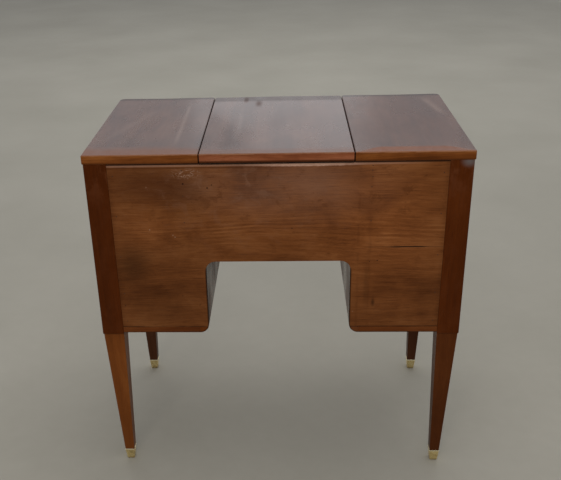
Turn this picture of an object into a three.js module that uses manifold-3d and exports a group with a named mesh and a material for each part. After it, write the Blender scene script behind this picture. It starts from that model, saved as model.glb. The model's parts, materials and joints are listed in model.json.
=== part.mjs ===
// Vanity table with a mirror under the middle lid. Millimetres, +Z up.
// The user sits on the -Y side; +Y is the plain back. -X is the user's left.
import * as THREE from 'three';
import Module from 'manifold-3d';
import { mergeVertices } from 'three/addons/utils/BufferGeometryUtils.js';

// ---- driving dimensions -------------------------------------------------
const LID_X = 400;        // half width over the lids
const LID_Y = 222;        // half depth over the lids
const TOP_Z = 792;        // height of the closed lids
const LID_T = 20;
const LID_Z = TOP_Z - LID_T;
const SPLIT_X = 158.5;    // line between a side lid and the middle lid
const SPLIT_GAP = 1.6;
const CASE_X = 398.2;     // outer faces of the corner posts
const CASE_Y = 219.5;
const CASE_TOP = 771.8;
const CASE_BOTTOM = 370;
const POST_X = 350;       // inner faces of the corner posts
const POST_Y = 173;
const POST_BOTTOM = 366;
const KNEE_X = 156;       // half width of the kneehole
const KNEE_TOP = 547;
const KNEE_COVE = 22;     // hollow corners at the top of the kneehole
const KNEE_ROUND = 20;    // round lower edges of the pedestals
const BOARD = 16;
const BASE_T = 14;        // pedestal bottoms; their back edges show under the back panel
const SIDE_T = 20;        // boards either side of the kneehole
const BACK_T = 12;
const APRON_T = 18;
const APRON_BOTTOM = 573;
const WELL_Z = 566;       // underside of the side well floors
const WELL_T = 8;
const MID_WELL_Z = 652;   // underside of the middle well floor
const FOOT_X = 369.5;
const FOOT_Y = 196;
const SABOT_H = 30;
const BARREL = 1.4;       // hinge barrel radius
const AXIS_DROP = 1.4;    // hinge axes lie this far below the lids
const AXIS_X = 399.25;
const AXIS_Y = 221.2;
const HINGE_L = 50;
const HINGE_AT = 110;
const MID_HINGE_L = 314;
const LID_WAVE = 3;       // how far the front edges of the lids swell and draw in
const MOVE_Y = 10;        // brings the middle of the whole piece to the origin

const wasm = await Module();
wasm.setup();
const group = new THREE.Group();

// ---- materials ----------------------------------------------------------
function surface(color, roughness, metalness = 0) {
  return new THREE.MeshStandardMaterial({ color, roughness, metalness });
}
const WALNUT = surface(0x6b4430, 0.45);
const DARK = surface(0x4a2f26, 0.4);
const INSIDE = surface(0x9a7650, 0.6);
const BRASS = surface(0xb8923f, 0.3, 0.9);
const GLASS = surface(0xcfd6da, 0.05, 0.9);

// ---- helpers ------------------------------------------------------------
function add(name, geometry, material) {
  geometry.translate(0, MOVE_Y, 0);
  geometry.computeVertexNormals();
  const mesh = new THREE.Mesh(geometry, material);
  mesh.name = name;
  group.add(mesh);
}

function box(x0, x1, y0, y1, z0, z1) {
  const g = new THREE.BoxGeometry(Math.abs(x1 - x0), Math.abs(y1 - y0), Math.abs(z1 - z0));
  return g.translate((x0 + x1) / 2, (y0 + y1) / 2, (z0 + z1) / 2);
}

function arc(cx, cy, r, from, to, steps) {
  const points = [];
  for (let i = 0; i <= steps; i += 1) {
    const a = THREE.MathUtils.degToRad(from + ((to - from) * i) / steps);
    points.push([cx + r * Math.cos(a), cy + r * Math.sin(a)]);
  }
  return points;
}

function outline(points, side = 1) {
  return new THREE.Shape(points.map(([u, v]) => new THREE.Vector2(u * side, v)));
}

// An outline in plan, raised from z0 to z1, with its edges eased by `ease`.
function raise(shape, z0, z1, ease = 0) {
  const g = new THREE.ExtrudeGeometry(shape, {
    depth: z1 - z0 - 2 * ease,
    steps: 1,
    bevelEnabled: ease > 0,
    bevelThickness: ease,
    bevelSize: ease,
    bevelOffset: -ease,
    bevelSegments: 1,
  });
  return g.translate(0, 0, z0 + ease);
}

// An outline seen from the front (x, z), running from y0 to y1.
function alongY(shape, y0, y1) {
  const g = new THREE.ExtrudeGeometry(shape, { depth: y1 - y0, bevelEnabled: false });
  return g.rotateX(Math.PI / 2).translate(0, y1, 0);
}

// An outline seen from the side (y, z), running from x0 to x1.
function alongX(shape, x0, x1) {
  const g = new THREE.ExtrudeGeometry(shape, { depth: x1 - x0, bevelEnabled: false });
  const turn = new THREE.Matrix4().makeBasis(
    new THREE.Vector3(0, 1, 0),
    new THREE.Vector3(0, 0, 1),
    new THREE.Vector3(1, 0, 0),
  );
  return g.applyMatrix4(turn).translate(x0, 0, 0);
}

// A four-sided taper between a lower and an upper rectangle, each [x0, x1, y0, y1].
function taper(low, high, z0, z1) {
  const g = new THREE.BoxGeometry(1, 1, 1);
  const p = g.attributes.position;
  for (let i = 0; i < p.count; i += 1) {
    const at = p.getZ(i) > 0 ? high : low;
    const x = p.getX(i) > 0 ? at[1] : at[0];
    const y = p.getY(i) > 0 ? at[3] : at[2];
    p.setXYZ(i, x, y, p.getZ(i) > 0 ? z1 : z0);
  }
  return g;
}

function solid(geometry) {
  const bare = geometry.index ? geometry.clone() : geometry;
  bare.deleteAttribute('normal');
  bare.deleteAttribute('uv');
  const merged = mergeVertices(bare, 1e-4);
  return new wasm.Manifold(new wasm.Mesh({
    numProp: 3,
    vertProperties: new Float32Array(merged.attributes.position.array),
    triVerts: new Uint32Array(merged.index.array),
  }));
}

function plain(manifold) {
  const mesh = manifold.getMesh();
  const g = new THREE.BufferGeometry();
  g.setAttribute('position', new THREE.BufferAttribute(new Float32Array(mesh.vertProperties), 3));
  g.setIndex(new THREE.BufferAttribute(new Uint32Array(mesh.triVerts), 1));
  return g.toNonIndexed();
}

function join(pieces) {
  return pieces.map(solid).reduce((a, b) => a.add(b));
}

function square(cx, cy, size) {
  return [cx - size / 2, cx + size / 2, cy - size / 2, cy + size / 2];
}

// ---- posts, legs and brass shoes ---------------------------------------
function corner(name, sx, sy) {
  const span = (a, b, s) => (s > 0 ? [a, b] : [-b, -a]);
  const px = span(POST_X, CASE_X, sx);
  const py = span(POST_Y, CASE_Y, sy);
  add(`post_${name}`, raise(outline([
    [px[0], py[0]], [px[1], py[0]], [px[1], py[1]], [px[0], py[1]],
  ]), POST_BOTTOM, CASE_TOP), DARK);

  const top = [...span(350.6, 396.4, sx), ...span(174.5, 217, sy)];
  const fx = FOOT_X * sx;
  const fy = FOOT_Y * sy;
  const leg = join([
    taper(square(fx, fy, 22), top, SABOT_H, POST_BOTTOM),
    taper(square(fx, fy, 14.5), square(fx, fy, 20.9), 1.5, SABOT_H + 0.5),
  ]);
  add(`leg_${name}`, plain(leg), DARK);

  const shoe = solid(taper(square(fx, fy, 17.4), square(fx, fy, 23.8), 0, SABOT_H));
  const hollow = solid(taper(square(fx, fy, 14.6), square(fx, fy, 21.5), 1.2, SABOT_H + 1));
  add(`sabot_${name}`, plain(shoe.subtract(hollow)), BRASS);
}

for (const [word, sy] of [['front', -1], ['back', 1]]) {
  corner(`${word}_left`, -1, sy);
  corner(`${word}_right`, 1, sy);
}

// ---- back, ends and kneehole -------------------------------------------
const PANEL_BOTTOM = CASE_BOTTOM + BASE_T;
const ROUND_KEPT = THREE.MathUtils.radToDeg(Math.asin((KNEE_ROUND - BASE_T) / KNEE_ROUND));
const HALF_BACK = [
  [POST_X, PANEL_BOTTOM],
  [POST_X, CASE_TOP],
  [SPLIT_X - 1, CASE_TOP],
  [SPLIT_X - 1, LID_Z - 2 * AXIS_DROP],
];
const HALF_KNEE = [
  ...arc(KNEE_X - KNEE_COVE, KNEE_TOP - KNEE_COVE, KNEE_COVE, 90, 0, 8),
  ...arc(KNEE_X + KNEE_ROUND, CASE_BOTTOM + KNEE_ROUND, KNEE_ROUND, 180, 180 + ROUND_KEPT, 2),
];
function mirrored(points) {
  return points.map(([x, z]) => [-x, z]).reverse();
}
add('back_panel', alongY(outline([
  ...HALF_BACK, ...mirrored(HALF_BACK), ...mirrored(HALF_KNEE), ...HALF_KNEE,
]), CASE_Y - BACK_T, CASE_Y - 0.2), WALNUT);

const backIn = CASE_Y - BACK_T;
const frontOut = -CASE_Y + 0.2;
const apronIn = frontOut + APRON_T;

function notchedTop(y) {
  const half = HINGE_L / 2 + 0.5;
  const low = LID_Z - 2 * AXIS_DROP;
  return [[y - half, CASE_TOP], [y - half, low], [y + half, low], [y + half, CASE_TOP]];
}
const END_OUTLINE = [
  [POST_Y, CASE_BOTTOM],
  [-POST_Y, CASE_BOTTOM],
  [-POST_Y, CASE_TOP],
  ...notchedTop(-HINGE_AT),
  ...notchedTop(HINGE_AT),
  [POST_Y, CASE_TOP],
];
const SIDE_OUTLINE = [
  [backIn, CASE_BOTTOM + KNEE_ROUND],
  [backIn, CASE_TOP],
  [apronIn, CASE_TOP],
  [apronIn, APRON_BOTTOM],
  [frontOut, APRON_BOTTOM],
  [frontOut, CASE_BOTTOM + KNEE_ROUND],
];
const endIn = CASE_X - 0.3 - APRON_T;
const sideOut = KNEE_X + SIDE_T;

// A shelf that reaches the end panel between the posts.
function shelf(front, back, z0, z1, side) {
  return raise(outline([
    [sideOut, front], [POST_X, front], [POST_X, -POST_Y], [endIn, -POST_Y],
    [endIn, POST_Y], [POST_X, POST_Y], [POST_X, back], [sideOut, back],
  ], side), z0, z1);
}

// The rounded lower edge of a pedestal; it steps under the back panel.
function roundEdge(side) {
  const section = outline([
    [sideOut, CASE_BOTTOM + KNEE_ROUND],
    ...arc(sideOut, CASE_BOTTOM + KNEE_ROUND, KNEE_ROUND, 180, 270, 8),
  ], side);
  const x = [(KNEE_X - 1) * side, (sideOut + 1) * side];
  const step = box(Math.min(...x), Math.max(...x), backIn, CASE_Y + 1, PANEL_BOTTOM, KNEE_TOP);
  return solid(alongY(section, frontOut, -frontOut)).subtract(solid(step));
}

for (const [word, side] of [['left', -1], ['right', 1]]) {
  const from = side > 0 ? endIn : -(CASE_X - 0.3);
  add(`end_panel_${word}`, alongX(outline(END_OUTLINE), from, from + APRON_T), WALNUT);
  const at = side > 0 ? KNEE_X : -sideOut;
  add(`kneehole_side_${word}`, alongX(outline(SIDE_OUTLINE), at, at + SIDE_T), DARK);
  add(`round_edge_${word}`, plain(roundEdge(side)), DARK);
  add(`pedestal_bottom_${word}`, shelf(frontOut, -frontOut, CASE_BOTTOM, PANEL_BOTTOM, side), DARK);
  add(`well_floor_${word}`, shelf(apronIn, backIn, WELL_Z, WELL_Z + WELL_T, side), INSIDE);
}

const HALF_KNEE_TOP = [
  [0, KNEE_TOP + BOARD],
  [KNEE_X, KNEE_TOP + BOARD],
  [KNEE_X, KNEE_TOP - KNEE_COVE + 4],
  ...arc(KNEE_X - KNEE_COVE, KNEE_TOP - KNEE_COVE, KNEE_COVE, 10.9, 90, 8),
];
add('kneehole_top', alongY(outline([
  ...HALF_KNEE_TOP, ...mirrored(HALF_KNEE_TOP).slice(0, -1),
]), frontOut, backIn), DARK);
add('well_floor_middle', box(-KNEE_X, KNEE_X, apronIn, backIn, MID_WELL_Z, MID_WELL_Z + WELL_T), INSIDE);

const drawerTop = MID_WELL_Z - 4;
add('front_apron', alongY(outline([
  [-POST_X, APRON_BOTTOM], [-POST_X, CASE_TOP], [POST_X, CASE_TOP], [POST_X, APRON_BOTTOM],
  [KNEE_X, APRON_BOTTOM], [KNEE_X, drawerTop], [-KNEE_X, drawerTop], [-KNEE_X, APRON_BOTTOM],
]), frontOut, apronIn), WALNUT);

// ---- drawers ------------------------------------------------------------
const DRAWER_BACK = 188;
const DRAWER_T = 10;

function knob(x, z) {
  const profile = [
    [0, 0], [6, 0], [5, 3], [4.2, 8], [5.5, 12], [9.5, 15], [11, 18.5], [9, 22], [4, 23.3], [0, 23.3],
  ].map(([r, y]) => new THREE.Vector2(r, y));
  return new THREE.LatheGeometry(profile, 20).rotateX(Math.PI).translate(x, frontOut, z);
}

// Front face x0..x1 by z0..z1; the tray behind it is `inset` narrower and `low` shorter.
function drawer(name, x0, x1, z0, z1, inset, low) {
  const a = x0 + inset;
  const b = x1 - inset;
  const base = z0 + 0.4;
  const rim = z1 - low;
  const end = DRAWER_BACK;
  add(`drawer_${name}_front`, box(x0, x1, frontOut, apronIn, z0, z1), WALNUT);
  add(`drawer_${name}_side_a`, box(a, a + DRAWER_T, apronIn, end, base, rim), INSIDE);
  add(`drawer_${name}_side_b`, box(b - DRAWER_T, b, apronIn, end, base, rim), INSIDE);
  add(`drawer_${name}_back`, box(a + DRAWER_T, b - DRAWER_T, end - DRAWER_T, end, base, rim), INSIDE);
  add(`drawer_${name}_bottom`,
    box(a + DRAWER_T, b - DRAWER_T, apronIn, end - DRAWER_T, base + 5, base + 10), INSIDE);
  add(`drawer_${name}_knob`, knob((x0 + x1) / 2, (z0 + z1) / 2), BRASS);
}

const FIT = 0.8;
const sideZ0 = PANEL_BOTTOM + FIT;
drawer('left', -POST_X + FIT, -sideOut - FIT, sideZ0, APRON_BOTTOM - FIT, 4, 18);
drawer('right', sideOut + FIT, POST_X - FIT, sideZ0, APRON_BOTTOM - FIT, 4, 18);
drawer('middle', -KNEE_X + FIT, KNEE_X - FIT, KNEE_TOP + BOARD + FIT, drawerTop - FIT, 3, 8);

// ---- lids and mirror ----------------------------------------------------
// The front edge from x0 to x1: it swells by LID_WAVE where cos(from..to) is 1 and draws in where -1.
function wave(x0, x1, from, to) {
  const points = [];
  for (let i = 1; i < 10; i += 1) {
    const a = THREE.MathUtils.degToRad(from + ((to - from) * i) / 10);
    points.push([x0 + ((x1 - x0) * i) / 10, -LID_Y + (LID_WAVE * (1 - Math.cos(a))) / 2]);
  }
  return points;
}

const inner = SPLIT_X + SPLIT_GAP / 2;
const SIDE_LID = [
  ...arc(LID_X - 1.5, LID_Y - 1.5, 1.5, 0, 90, 2),
  ...arc(inner + 1.5, LID_Y - 1.5, 1.5, 90, 180, 2),
  ...arc(inner + 7, -LID_Y + 7, 7, 180, 270, 5),
  ...wave(inner + 7, LID_X - 13, 0, 360),
  ...arc(LID_X - 13, -LID_Y + 13, 13, 270, 360, 8),
];
add('lid_left', raise(outline(SIDE_LID, -1), LID_Z, TOP_Z, 1.5), DARK);
add('lid_right', raise(outline(SIDE_LID), LID_Z, TOP_Z, 1.5), DARK);

const mid = SPLIT_X - SPLIT_GAP / 2;
const HALF_MID_LID = [
  ...wave(0, mid - 7, 0, 180),
  ...arc(mid - 7, -LID_Y + LID_WAVE + 7, 7, 270, 360, 5),
  ...arc(mid - 1.5, LID_Y - 1.5, 1.5, 0, 90, 2),
];
add('lid_middle', raise(outline([
  ...HALF_MID_LID, ...mirrored(HALF_MID_LID),
]), LID_Z, TOP_Z, 1.5), DARK);

const FRAME_X = 147;
const FRAME_Y = 194;
const FRAME_W = 12;
const FRAME_T = 13;
const frame = solid(box(-FRAME_X, FRAME_X, -FRAME_Y, FRAME_Y, LID_Z - FRAME_T, LID_Z))
  .subtract(solid(box(
    -FRAME_X + FRAME_W, FRAME_X - FRAME_W, -FRAME_Y + FRAME_W, FRAME_Y - FRAME_W,
    LID_Z - FRAME_T - 1, LID_Z + 1,
  )));
add('mirror_frame', plain(frame), WALNUT);
add('mirror_glass', box(
  -FRAME_X + FRAME_W, FRAME_X - FRAME_W, -FRAME_Y + FRAME_W, FRAME_Y - FRAME_W, LID_Z - 5, LID_Z,
), GLASS);

// ---- hinges -------------------------------------------------------------
// Axis along Y through the origin; the leaf lies toward -X, above or below the axis.
function leaf(length, knuckles, width, upper) {
  const plate = upper ? [0.15, AXIS_DROP] : [-AXIS_DROP, -0.15];
  const clear = BARREL + 0.45;
  const pieces = [box(-width, -clear, -length / 2, length / 2, ...plate)];
  const step = length / knuckles;
  for (let i = upper ? 0 : 1; i < knuckles; i += 2) {
    const y0 = -length / 2 + i * step + (i === 0 ? 0 : 0.15);
    const y1 = -length / 2 + (i + 1) * step - (i === knuckles - 1 ? 0 : 0.15);
    pieces.push(box(-clear - 0.01, 0, y0, y1, ...plate));
    const barrel = new THREE.CylinderGeometry(BARREL, BARREL, y1 - y0, 12);
    pieces.push(barrel.translate(0, (y0 + y1) / 2, 0));
  }
  if (upper) {
    pieces.push(new THREE.CylinderGeometry(0.6, 0.6, length - 0.4, 8));
    return join(pieces);
  }
  return join(pieces).subtract(solid(new THREE.CylinderGeometry(0.85, 0.85, length + 2, 8)));
}

function hinge(name, length, knuckles, width, turn, x, y) {
  for (const [word, upper] of [['lid_leaf', true], ['case_leaf', false]]) {
    const g = plain(leaf(length, knuckles, width, upper));
    add(`${name}_${word}`, g.rotateZ(turn).translate(x, y, LID_Z - AXIS_DROP), BRASS);
  }
}

for (const [word, y] of [['front', -HINGE_AT], ['back', HINGE_AT]]) {
  hinge(`hinge_left_${word}`, HINGE_L, 5, 17, Math.PI, -AXIS_X, y);
  hinge(`hinge_right_${word}`, HINGE_L, 5, 17, 0, AXIS_X, y);
}
hinge('hinge_middle', MID_HINGE_L, 11, 13, Math.PI / 2, 0, AXIS_Y);

export default group;
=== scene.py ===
"""Looks of the vanity table: woods, brass, mirror, fine pieces, floor, light and camera. Metres."""
import json
import math

import bmesh
import bpy
from mathutils import Matrix, Vector

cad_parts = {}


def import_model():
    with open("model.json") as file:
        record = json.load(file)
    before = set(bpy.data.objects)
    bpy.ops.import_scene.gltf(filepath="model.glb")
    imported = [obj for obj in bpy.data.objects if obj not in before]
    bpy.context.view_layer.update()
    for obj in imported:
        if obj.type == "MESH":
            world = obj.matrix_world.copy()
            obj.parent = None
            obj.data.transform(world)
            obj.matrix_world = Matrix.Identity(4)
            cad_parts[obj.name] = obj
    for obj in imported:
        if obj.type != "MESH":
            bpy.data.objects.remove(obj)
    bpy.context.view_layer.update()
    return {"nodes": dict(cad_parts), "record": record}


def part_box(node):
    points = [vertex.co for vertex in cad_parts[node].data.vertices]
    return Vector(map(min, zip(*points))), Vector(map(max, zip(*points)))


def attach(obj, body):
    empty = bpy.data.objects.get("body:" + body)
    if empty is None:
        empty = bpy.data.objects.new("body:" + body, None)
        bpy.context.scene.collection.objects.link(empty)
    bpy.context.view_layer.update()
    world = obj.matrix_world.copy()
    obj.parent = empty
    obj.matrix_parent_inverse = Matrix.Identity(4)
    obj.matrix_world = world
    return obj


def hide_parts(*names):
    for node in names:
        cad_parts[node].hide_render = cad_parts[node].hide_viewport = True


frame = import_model()
NODES = frame["nodes"]
BODIES = frame["record"]["behaviour"]["bodies"]
BODY_OF = {node: body for body, nodes in BODIES.items() for node in nodes}
MM = 0.001
CORNERS = ("front_left", "front_right", "back_left", "back_right")

# places that several materials share, all read from the CAD
PANEL_LOW, PANEL_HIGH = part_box("back_panel")
ROUND_LOW, ROUND_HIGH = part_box("round_edge_right")
KNEE_X = ROUND_LOW[0]
ROUND_X, ROUND_Z = ROUND_HIGH[0], ROUND_HIGH[2]


# ---- shader building ----------------------------------------------------
class Shader:
    """A Principled material and the few node helpers that the woods and metals use."""

    def __init__(self, name):
        self.material = bpy.data.materials.new(name)
        self.material.use_nodes = True
        self.tree = self.material.node_tree
        self.tree.nodes.clear()
        self.bsdf = self.tree.nodes.new("ShaderNodeBsdfPrincipled")
        out = self.tree.nodes.new("ShaderNodeOutputMaterial")
        self.tree.links.new(self.bsdf.outputs["BSDF"], out.inputs["Surface"])
        coord = self.tree.nodes.new("ShaderNodeTexCoord")
        self.place = coord.outputs["Object"]
        split = self.tree.nodes.new("ShaderNodeSeparateXYZ")
        self.tree.links.new(self.place, split.inputs[0])
        self.x, self.y, self.z = split.outputs
        facing = self.tree.nodes.new("ShaderNodeSeparateXYZ")
        self.tree.links.new(coord.outputs["Normal"], facing.inputs[0])
        self.nx, self.ny, self.nz = facing.outputs

    def feed(self, socket, value):
        if isinstance(value, bpy.types.NodeSocket):
            self.tree.links.new(value, socket)
        elif value is not None:
            if socket.type == "RGBA" and len(value) == 3:
                value = (*value, 1.0)
            socket.default_value = value

    def math(self, operation, a, b=None, c=None):
        n = self.tree.nodes.new("ShaderNodeMath")
        n.operation = operation
        for socket, value in zip(n.inputs, (a, b, c)):
            self.feed(socket, value)
        return n.outputs[0]

    def add(self, a, b):
        return self.math("ADD", a, b)

    def sub(self, a, b):
        return self.math("SUBTRACT", a, b)

    def mul(self, a, b):
        return self.math("MULTIPLY", a, b)

    def spread(self, value, low, high, to_low=0.0, to_high=1.0):
        """Eases value from low..high to to_low..to_high, and holds it outside."""
        n = self.tree.nodes.new("ShaderNodeMapRange")
        n.interpolation_type = "SMOOTHSTEP"
        for key, v in (("Value", value), ("From Min", low), ("From Max", high),
                       ("To Min", to_low), ("To Max", to_high)):
            self.feed(n.inputs[key], v)
        return n.outputs[0]

    def between(self, value, low, high, soft):
        """1 inside low..high, easing to 0 over `soft` on both sides."""
        rise = self.spread(value, low - soft, low + soft)
        fall = self.spread(value, high - soft, high + soft, 1.0, 0.0)
        return self.mul(rise, fall)

    def blob(self, u, v, cu, cv, ru, rv):
        """1 at the centre of an ellipse, easing to 0 at its rim."""
        du = self.math("DIVIDE", self.sub(u, cu), ru)
        dv = self.math("DIVIDE", self.sub(v, cv), rv)
        d = self.math("SQRT", self.add(self.mul(du, du), self.mul(dv, dv)))
        return self.spread(d, 0.0, 1.0, 1.0, 0.0)

    def vector(self, x, y, z):
        n = self.tree.nodes.new("ShaderNodeCombineXYZ")
        for socket, value in zip(n.inputs, (x, y, z)):
            self.feed(socket, value)
        return n.outputs[0]

    def scaled(self, vector, scale, shift=(0.0, 0.0, 0.0)):
        n = self.tree.nodes.new("ShaderNodeMapping")
        self.feed(n.inputs["Vector"], vector)
        n.inputs["Scale"].default_value = scale
        n.inputs["Location"].default_value = shift
        return n.outputs[0]

    def noise(self, vector, scale=1.0, detail=3.0, rough=0.5, distortion=0.0):
        n = self.tree.nodes.new("ShaderNodeTexNoise")
        self.feed(n.inputs["Vector"], vector)
        for key, v in (("Scale", scale), ("Detail", detail), ("Roughness", rough),
                       ("Distortion", distortion)):
            n.inputs[key].default_value = v
        return n.outputs["Fac"]

    def cells(self, vector, scale, feature="F1"):
        n = self.tree.nodes.new("ShaderNodeTexVoronoi")
        n.feature = feature
        self.feed(n.inputs["Vector"], vector)
        n.inputs["Scale"].default_value = scale
        return n.outputs["Distance"]

    def ramp(self, value, stops):
        n = self.tree.nodes.new("ShaderNodeValToRGB")
        self.feed(n.inputs[0], value)
        marks = n.color_ramp.elements
        while len(marks) < len(stops):
            marks.new(0.5)
        for mark, (at, color) in zip(marks, stops):
            mark.position = at
            mark.color = (*color, 1.0)
        return n.outputs[0]

    def mix(self, factor, a, b, blend="MIX"):
        n = self.tree.nodes.new("ShaderNodeMix")
        n.data_type = "RGBA"
        n.blend_type = blend
        self.feed(n.inputs[0], factor)
        self.feed(n.inputs[6], a)
        self.feed(n.inputs[7], b)
        return n.outputs[2]

    def gain(self, color, amount):
        """Multiplies a colour by a grey amount."""
        n = self.tree.nodes.new("ShaderNodeVectorMath")
        n.operation = "SCALE"
        self.feed(n.inputs[0], color)
        self.feed(n.inputs["Scale"], amount)
        return n.outputs[0]

    def math_vector(self, operation, a, b):
        n = self.tree.nodes.new("ShaderNodeVectorMath")
        n.operation = operation
        self.feed(n.inputs[0], a)
        self.feed(n.inputs[1], b)
        return n.outputs[0]

    def bump(self, height, distance, strength=1.0, below=None):
        n = self.tree.nodes.new("ShaderNodeBump")
        self.feed(n.inputs["Height"], height)
        n.inputs["Distance"].default_value = distance
        n.inputs["Strength"].default_value = strength
        if below is not None:
            self.feed(n.inputs["Normal"], below)
        return n.outputs[0]

    def set(self, **values):
        for key, value in values.items():
            self.feed(self.bsdf.inputs[key.replace("_", " ")], value)


# ---- wood ---------------------------------------------------------------
# which coordinates run along, across and into the board, for each grain direction
GRAIN_ORDER = {"X": "xzy", "Y": "yxz", "Z": "zxy"}


def grain_space(s, grain, seed):
    """Object coordinates turned so that the first one runs along the grain."""
    along, across, deep = (getattr(s, axis) for axis in GRAIN_ORDER[grain])
    return s.vector(s.add(along, seed * 1.7), s.add(across, seed * 0.61), s.add(deep, seed * 0.37))


def wood(s, grain, palette, seed=0.0, rings=0.3, ring_mm=7.0, figure=0.55, streak=0.35,
         blotch=0.6, pores=0.5, fine=0.3):
    """Colour and surface height of a finished wood. palette is dark, middle, light.

    figure, streak and fine weigh the broad, narrow and finest grain, blotch the cloudy patches,
    rings the growth rings, ring_mm apart, and pores the dark pore lines.
    """
    g = grain_space(s, grain, seed)
    # the grain wanders: every finer layer is laid over this slow wave
    wave = s.noise(s.scaled(g, (2.2, 5.0, 5.0)), detail=2.0)
    bent = s.math_vector("ADD", g, s.vector(0.0, s.mul(wave, 0.055), s.mul(wave, 0.03)))
    broad = s.noise(s.scaled(bent, (1.7, 17.0, 17.0)), detail=4.0, rough=0.62)
    narrow = s.noise(s.scaled(bent, (5.0, 125.0, 125.0)), detail=4.0, rough=0.65)
    fibre = s.noise(s.scaled(bent, (16.0, 430.0, 430.0)), detail=3.0, rough=0.65)
    patch = s.noise(s.scaled(g, (5.5, 8.0, 8.0), (3.1, 0.4, 7.7)), detail=5.0, rough=0.6,
                    distortion=0.4)
    count = s.mul(s.add(getattr(s, GRAIN_ORDER[grain][1]), s.mul(wave, 0.055)), 1000.0 / ring_mm)
    ring = s.math("SINE", s.mul(count, math.pi))
    tone = s.add(0.5, s.mul(s.sub(broad, 0.5), figure))
    tone = s.add(tone, s.mul(s.sub(narrow, 0.5), streak))
    tone = s.add(tone, s.mul(s.sub(fibre, 0.5), fine))
    tone = s.add(tone, s.mul(s.sub(patch, 0.5), blotch))
    tone = s.sub(tone, s.mul(ring, s.mul(rings, 0.07)))
    dark, middle, light = palette
    color = s.ramp(tone, [(0.22, dark), (0.5, middle), (0.78, light)])
    line = s.noise(s.scaled(bent, (30.0, 1300.0, 1300.0)), detail=1.0, rough=0.4)
    pore = s.spread(line, 0.60, 0.70)
    color = s.mix(s.mul(pore, pores), color, dark)
    height = s.sub(s.mul(fibre, 0.6), s.mul(pore, 0.8))
    return color, height


def specks(s, u, v, scale, size, keep=0.62):
    """Sparse small spots, such as worm holes or chips: 1 inside a spot."""
    flat = s.vector(u, v, 0.0)
    spot = s.spread(s.cells(flat, scale), size * 0.6, size, 1.0, 0.0)
    chosen = s.spread(s.noise(flat, scale=scale * 0.31, detail=1.0), keep, keep + 0.05)
    return s.mul(spot, chosen)


def edge_wear(s, low, high, axes, width, seed):
    """1 close to the long edges of a board, where both `axes` end, broken up by noise."""
    sides = []
    for axis in axes:
        at = getattr(s, axis)
        index = "xyz".index(axis)
        sides.append(s.math("MINIMUM", s.sub(at, low[index]), s.sub(high[index], at)))
    near = s.math("MAXIMUM", *sides)
    rough = s.noise(s.place, scale=60.0 + seed, detail=4.0, rough=0.7)
    reach = s.mul(s.spread(rough, 0.45, 0.75), width)
    return s.mul(s.spread(s.sub(reach, near), 0.0, width * 0.35), 0.8)


BROWN = ((0.064, 0.0165, 0.0036), (0.148, 0.0465, 0.0120), (0.232, 0.086, 0.027))
POST = ((0.034, 0.0060, 0.0005), (0.064, 0.0122, 0.0011), (0.098, 0.0220, 0.0030))
AMBER = ((0.040, 0.0085, 0.0012), (0.072, 0.0175, 0.0032), (0.108, 0.031, 0.0070))
SHADED_LEG = ((0.036, 0.0105, 0.0040), (0.062, 0.0205, 0.0088), (0.095, 0.0350, 0.0165))
HONEY = ((0.076, 0.0190, 0.0030), (0.150, 0.0420, 0.0078), (0.225, 0.074, 0.0160))
RUST = ((0.052, 0.0110, 0.0020), (0.100, 0.0255, 0.0052), (0.155, 0.0480, 0.0120))
ROSE = ((0.105, 0.0260, 0.0090), (0.200, 0.0580, 0.0220), (0.290, 0.098, 0.044))
TOP = ((0.040, 0.0125, 0.0055), (0.071, 0.0255, 0.0130), (0.108, 0.044, 0.0240))
WOOD_GLOSS = (1.0, 0.66, 0.42)
BARE = ((0.220, 0.130, 0.065), (0.330, 0.205, 0.108), (0.430, 0.285, 0.160))

# single colours laid over the woods
CRACK = (0.012, 0.004, 0.002)
LID_SHADE = (0.012, 0.0035, 0.002)
GRIME_AND_SHADE = (0.016, 0.005, 0.002)
SPLIT_SHADE = (0.016, 0.006, 0.003)
KNEE_SHADE = (0.010, 0.004, 0.002)
ROUGH_CUT_AND_SHADE = (0.020, 0.008, 0.004)
TOP_SPOT = (0.020, 0.008, 0.005)
FRONT_SHADE_REFLECTION = (0.026, 0.010, 0.006)
PANEL_STAIN = (0.066, 0.0160, 0.0045)
PANEL_SHEEN = (0.20, 0.125, 0.095)
PANEL_CLOUD = (0.180, 0.086, 0.050)
PANEL_CHIP = (0.36, 0.22, 0.14)
PANEL_SCRATCH = (0.34, 0.215, 0.150)
BARE_STRIP = (0.430, 0.255, 0.180)


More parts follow.
